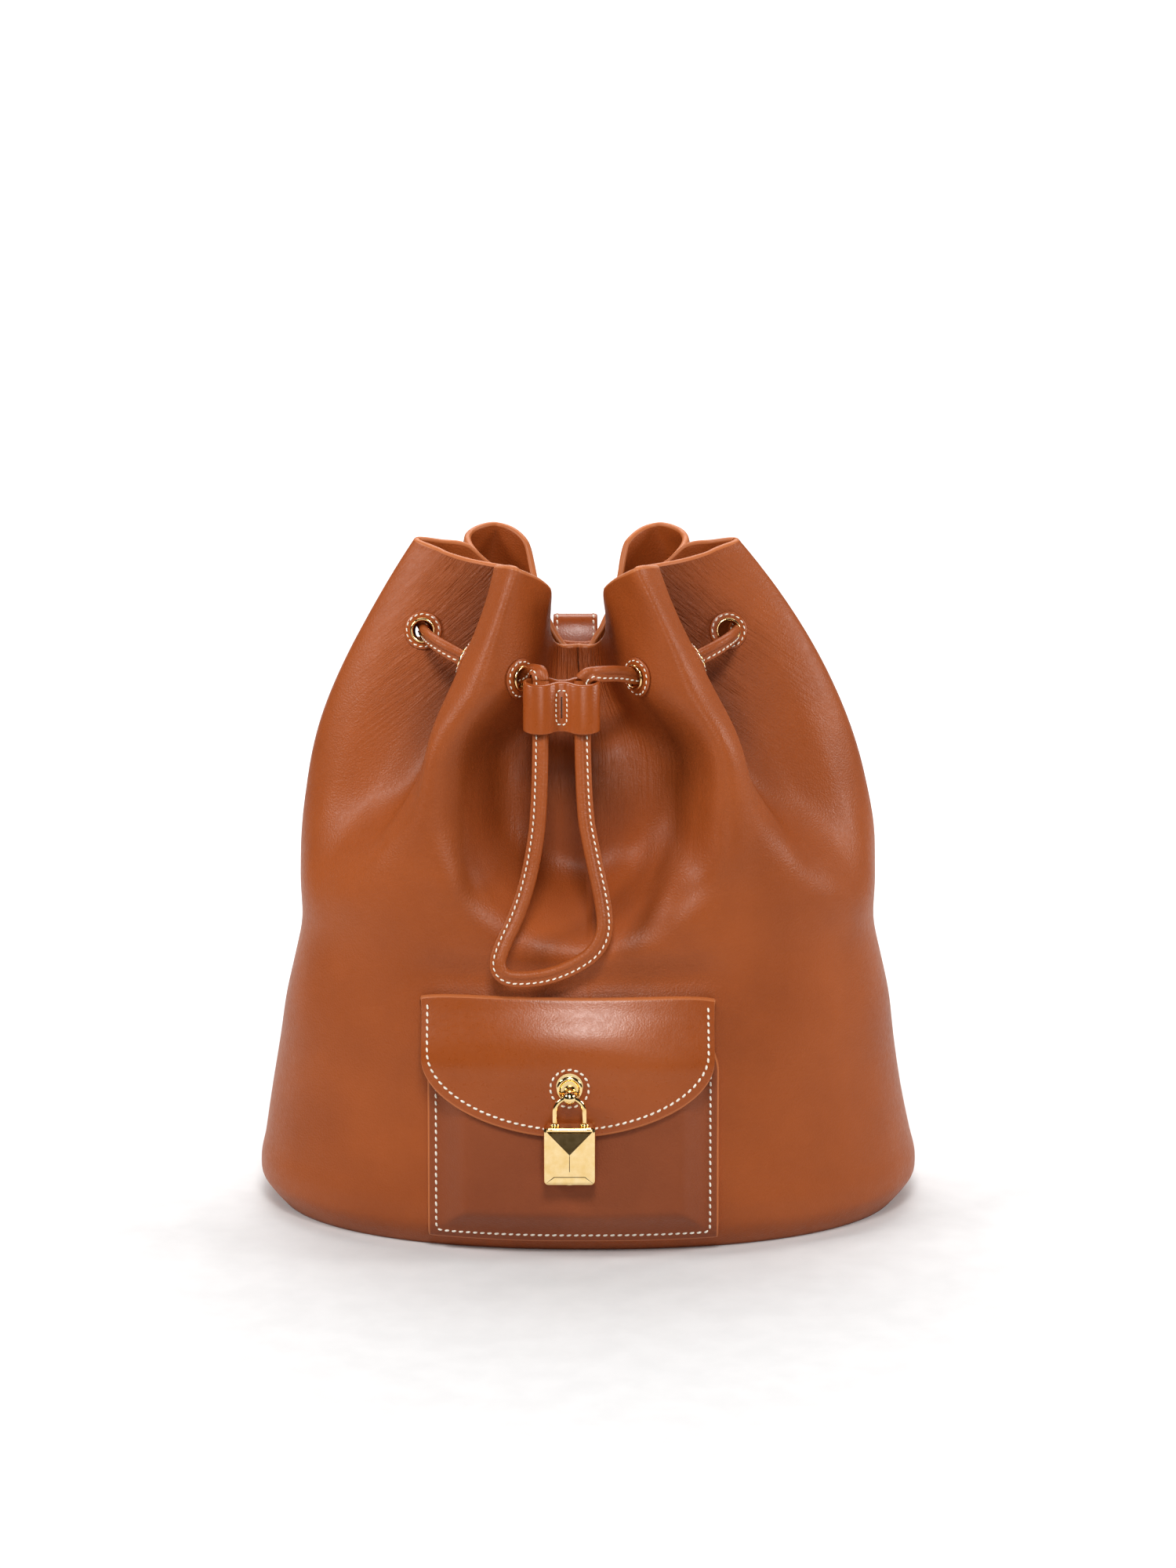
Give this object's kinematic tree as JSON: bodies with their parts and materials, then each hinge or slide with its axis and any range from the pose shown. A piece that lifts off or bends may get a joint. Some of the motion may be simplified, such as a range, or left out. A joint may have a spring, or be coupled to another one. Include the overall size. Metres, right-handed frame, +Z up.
{
  "type": "bucket bag",
  "caption": "Drawstring bucket bag of smooth leather with a gathered mouth, eyelets, a sliding cord keeper and a flap pocket closed by a small hanging padlock.",
  "frame": {"origin": "middle of the flat base, on the surface that the bag stands on", "axes": "+Z up, front of the bag (pocket and slider) towards -Y, +X to the right when the front is seen"},
  "size_m": [0.305, 0.2063, 0.3057],
  "materials": {
    "body_leather": "smooth tan calf leather, soft sheen",
    "trim_leather": "smooth tan calf leather with painted edges",
    "cord_leather": "piped tan leather cord with a stitched flange",
    "lining": "tan suede-like lining",
    "thread": "waxed cream thread",
    "gold_metal": "polished pale gold plating",
    "steel": "nickel-plated steel",
    "stiffener": "brown fibreboard"
  },
  "bodies": {
    "bag": {"front_panel": "body_leather", "back_panel": "body_leather", "base_panel": "body_leather", "base_board": "stiffener", "front_lining": "lining", "back_lining": "lining", "eyelet_01": "gold_metal", "eyelet_02": "gold_metal", "eyelet_03": "gold_metal", "eyelet_04": "gold_metal", "eyelet_05": "gold_metal", "eyelet_06": "gold_metal", "eyelet_07": "gold_metal", "eyelet_08": "gold_metal", "eyelet_09": "gold_metal", "eyelet_10": "gold_metal", "eyelet_11": "gold_metal", "eyelet_12": "gold_metal", "eyelet_rings": "trim_leather", "eyelet_washers": "gold_metal", "drawstring_ring": "cord_leather", "drawstring_loop": "cord_leather", "pocket_panel": "trim_leather", "snap_magnet": "steel", "hang_loop_root": "trim_leather", "hang_loop_patch": "trim_leather"},
    "flap": {"pocket_flap": "trim_leather", "flap_lining": "lining", "snap_keeper": "steel", "flap_stud": "gold_metal"},
    "shackle": {"shackle": "gold_metal"},
    "padlock": {"padlock_case": "gold_metal"},
    "lock_plug": {"lock_plug": "steel"},
    "slider": {"cord_slider": "trim_leather"},
    "hang_loop": {"hang_loop": "trim_leather"}
  },
  "joints": [
    {"name": "flap_hinge", "type": "hinge", "parent": "bag", "child": "flap", "pos_m": [-0.008, -0.0864, 0.115], "axis": [-1, 0, 0], "range_deg": [0, 95]},
    {"name": "padlock_swing", "type": "hinge", "parent": "flap", "child": "shackle", "pos_m": [-0.008, -0.1078, 0.077], "axis": [-1, 0, 0], "range_deg": [0, 90]},
    {"name": "shackle_release", "type": "slide", "parent": "shackle", "child": "padlock", "axis": [0, 0, -1], "range_m": [0, 0.005]},
    {"name": "key_turn", "type": "hinge", "parent": "padlock", "child": "lock_plug", "pos_m": [-0.008, -0.1078, 0.0385], "axis": [0, 0, 1], "range_deg": [0, 90]},
    {"name": "slider_slide", "type": "slide", "parent": "bag", "child": "slider", "axis": [0, -0.1994, -0.9799], "range_m": [0, 0.025]},
    {"name": "hang_loop_fold", "type": "hinge", "parent": "bag", "child": "hang_loop", "pos_m": [-0.006, 0.0874, 0.1273], "axis": [-1, 0, 0], "range_deg": [0, 100]}
  ]
}
